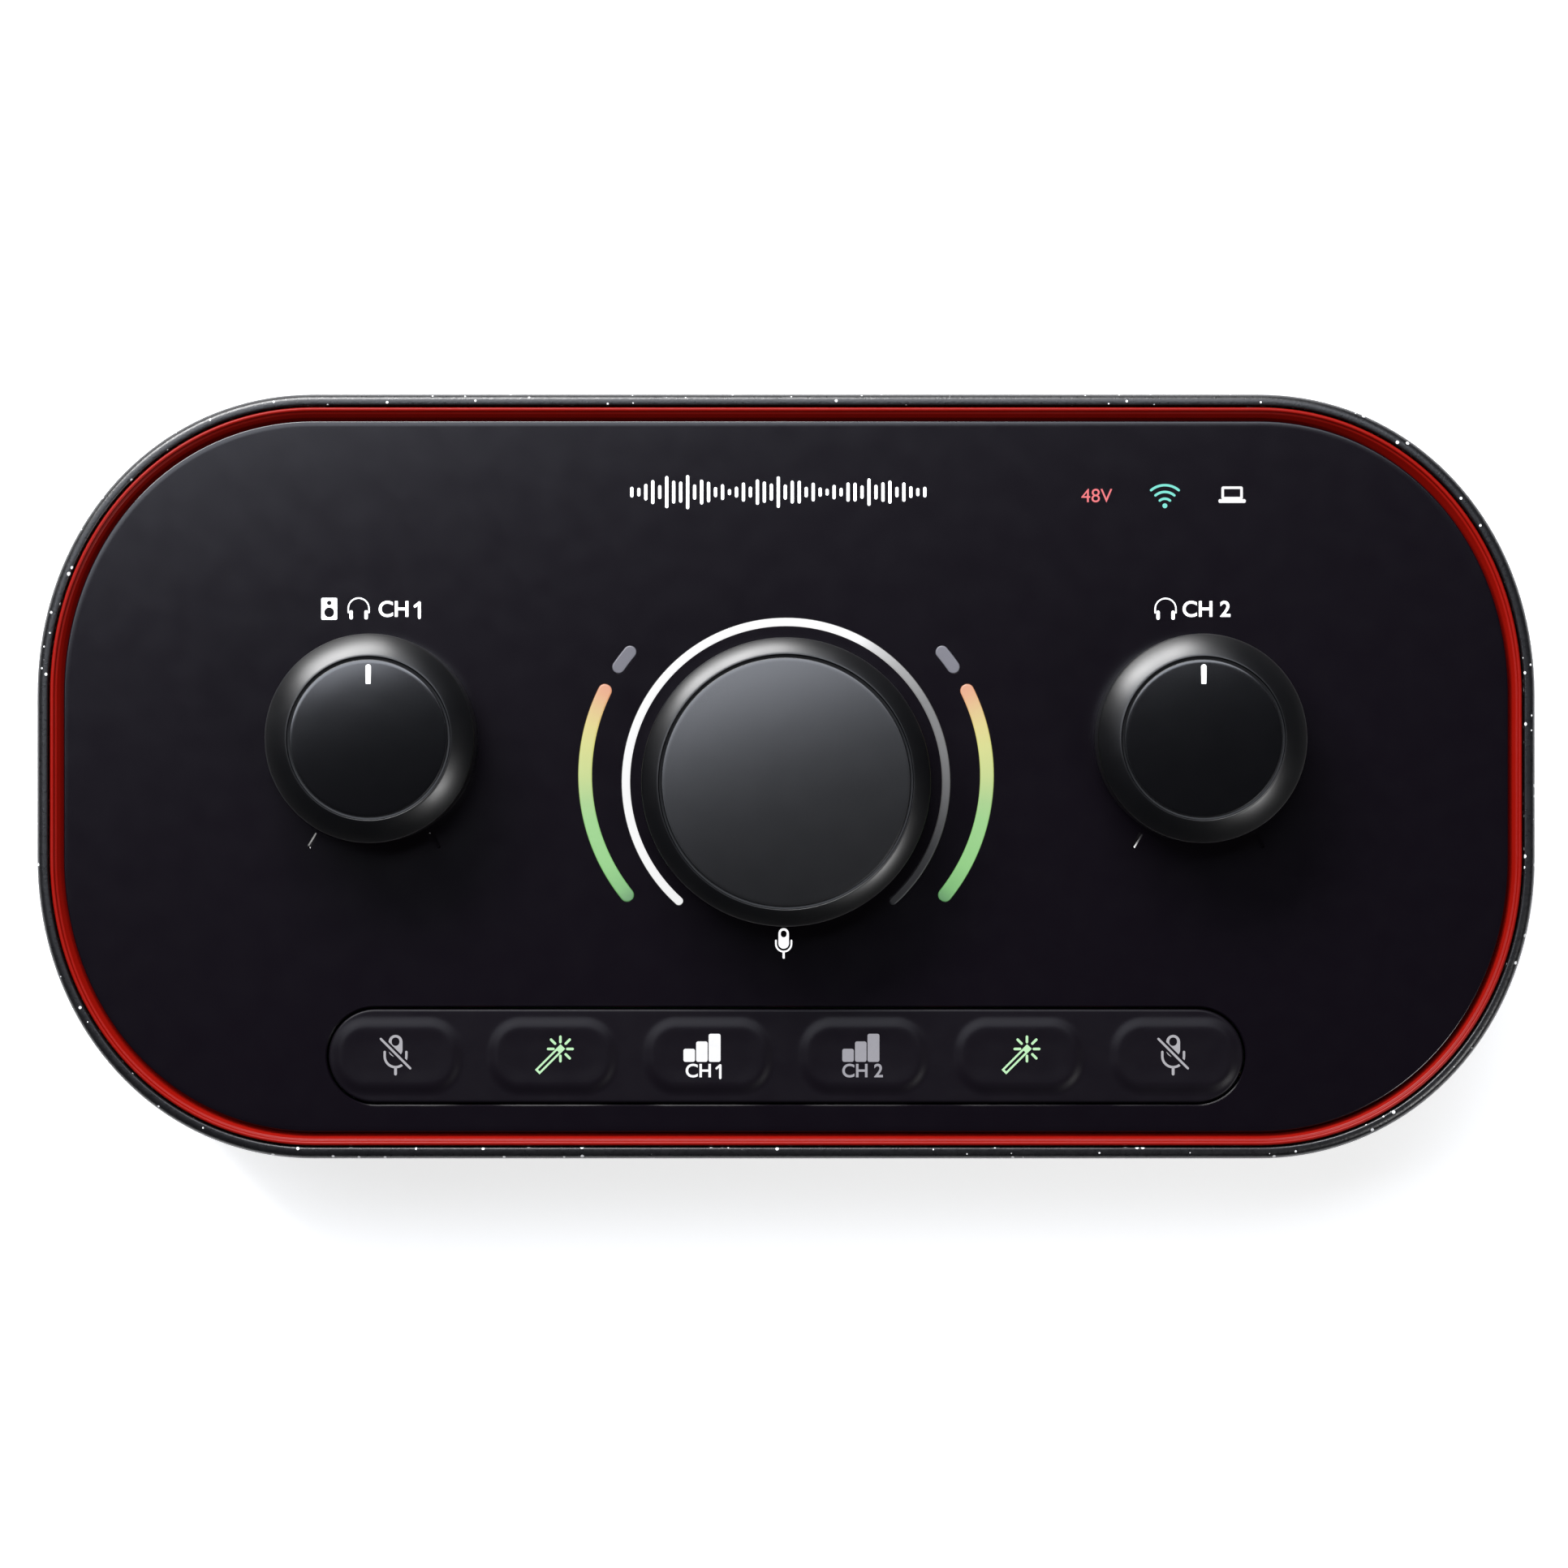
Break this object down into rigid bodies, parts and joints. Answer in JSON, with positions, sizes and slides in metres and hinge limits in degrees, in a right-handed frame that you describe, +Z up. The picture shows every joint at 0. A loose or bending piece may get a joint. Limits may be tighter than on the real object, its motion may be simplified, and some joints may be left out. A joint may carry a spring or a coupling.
{
  "type": "audio interface",
  "caption": "Desktop audio interface for microphones: rounded slab with gain and level knobs, lit meters, a soft keypad and rear sockets.",
  "frame": {"origin": "centre of the bounding box at the height of the surface that the feet stand on", "axes": "+X to the right along the width, +Y to the rear where the microphone sockets are, +Z up"},
  "size_m": [0.224, 0.1142, 0.05],
  "materials": {
    "shell_paint": "fine speckled satin charcoal",
    "base_plastic": "fine moulded texture, dark grey",
    "liner_red": "satin red",
    "panel_black": "satin black with a soft sheen",
    "knob_satin": "satin charcoal with a fine bright edge",
    "soft_keypad": "soft-touch silicone",
    "halo_light": "lit white diffuser",
    "meter_light": "lit green to orange diffuser",
    "clip_light": "unlit grey diffuser",
    "light_guide": "clear moulding",
    "circuit_board": "green solder mask",
    "switch_body": "moulded black",
    "socket_plastic": "moulded black",
    "button_plastic": "fine satin black",
    "steel": "nickel plated steel",
    "foot_rubber": "matt rubber"
  },
  "bodies": {
    "casing": {"outer_shell": "shell_paint", "rear_panel": "shell_paint", "base_plate": "base_plastic", "accent_liner": "liner_red", "top_panel": "panel_black", "keypad_membrane": "soft_keypad", "gain_halo": "halo_light", "meter_light_1": "meter_light", "meter_light_2": "meter_light", "clip_light_1": "clip_light", "clip_light_2": "clip_light", "status_light_guide": "light_guide", "main_board": "circuit_board", "control_board": "circuit_board", "level_pot_1": "switch_body", "level_pot_2": "switch_body", "gain_encoder": "switch_body", "pairing_switch": "switch_body", "power_switch": "switch_body", "key_switch_1": "switch_body", "key_switch_2": "switch_body", "key_switch_3": "switch_body", "key_switch_4": "switch_body", "key_switch_5": "switch_body", "key_switch_6": "switch_body", "mic_socket_1": "socket_plastic", "mic_socket_2": "socket_plastic", "mic_insert_1": "socket_plastic", "mic_insert_2": "socket_plastic", "line_out_left": "socket_plastic", "line_out_right": "socket_plastic", "headphone_socket_1": "socket_plastic", "headphone_socket_2": "socket_plastic", "camera_socket": "socket_plastic", "phone_socket": "socket_plastic", "usb_c_socket": "steel", "screw_1": "steel", "screw_2": "steel", "screw_3": "steel", "screw_4": "steel", "foot_1": "foot_rubber", "foot_2": "foot_rubber", "foot_3": "foot_rubber", "foot_4": "foot_rubber"},
    "gain_knob": {"gain_knob": "knob_satin", "gain_shaft": "steel"},
    "level_knob_1": {"level_knob_1": "knob_satin", "level_shaft_1": "steel"},
    "level_knob_2": {"level_knob_2": "knob_satin", "level_shaft_2": "steel"},
    "key_1": {"key_1": "soft_keypad"},
    "key_2": {"key_2": "soft_keypad"},
    "key_3": {"key_3": "soft_keypad"},
    "key_4": {"key_4": "soft_keypad"},
    "key_5": {"key_5": "soft_keypad"},
    "key_6": {"key_6": "soft_keypad"},
    "mic_latch_1": {"mic_latch_1": "steel"},
    "mic_latch_2": {"mic_latch_2": "steel"},
    "pairing_button": {"pairing_button": "button_plastic"},
    "power_button": {"power_button": "button_plastic"}
  },
  "joints": [
    {"name": "gain_turn", "type": "hinge", "parent": "casing", "child": "gain_knob", "pos_m": [0, -0.00085, 0.0376], "axis": [0, 0, 1], "continuous": true},
    {"name": "level_turn_1", "type": "hinge", "parent": "casing", "child": "level_knob_1", "pos_m": [-0.0616, 0.0056, 0.0376], "axis": [0, 0, 1], "range_deg": [-150, 150]},
    {"name": "level_turn_2", "type": "hinge", "parent": "casing", "child": "level_knob_2", "pos_m": [0.0616, 0.0056, 0.0376], "axis": [0, 0, 1], "range_deg": [-150, 150]},
    {"name": "key_press_1", "type": "slide", "parent": "casing", "child": "key_1", "axis": [0, 0, -1], "range_m": [0, 0.0008], "stiffness_N_per_m": 1000},
    {"name": "key_press_2", "type": "slide", "parent": "casing", "child": "key_2", "axis": [0, 0, -1], "range_m": [0, 0.0008], "stiffness_N_per_m": 1000},
    {"name": "key_press_3", "type": "slide", "parent": "casing", "child": "key_3", "axis": [0, 0, -1], "range_m": [0, 0.0008], "stiffness_N_per_m": 1000},
    {"name": "key_press_4", "type": "slide", "parent": "casing", "child": "key_4", "axis": [0, 0, -1], "range_m": [0, 0.0008], "stiffness_N_per_m": 1000},
    {"name": "key_press_5", "type": "slide", "parent": "casing", "child": "key_5", "axis": [0, 0, -1], "range_m": [0, 0.0008], "stiffness_N_per_m": 1000},
    {"name": "key_press_6", "type": "slide", "parent": "casing", "child": "key_6", "axis": [0, 0, -1], "range_m": [0, 0.0008], "stiffness_N_per_m": 1000},
    {"name": "pairing_press", "type": "slide", "parent": "casing", "child": "pairing_button", "axis": [0, -1, 0], "range_m": [0, 0.0008], "stiffness_N_per_m": 1000},
    {"name": "power_press", "type": "slide", "parent": "casing", "child": "power_button", "axis": [0, -1, 0], "range_m": [0, 0.0015], "stiffness_N_per_m": 800},
    {"name": "latch_press_1", "type": "slide", "parent": "casing", "child": "mic_latch_1", "axis": [0, -1, 0], "range_m": [0, 0.0015], "stiffness_N_per_m": 1500},
    {"name": "latch_press_2", "type": "slide", "parent": "casing", "child": "mic_latch_2", "axis": [0, -1, 0], "range_m": [0, 0.0015], "stiffness_N_per_m": 1500}
  ]
}
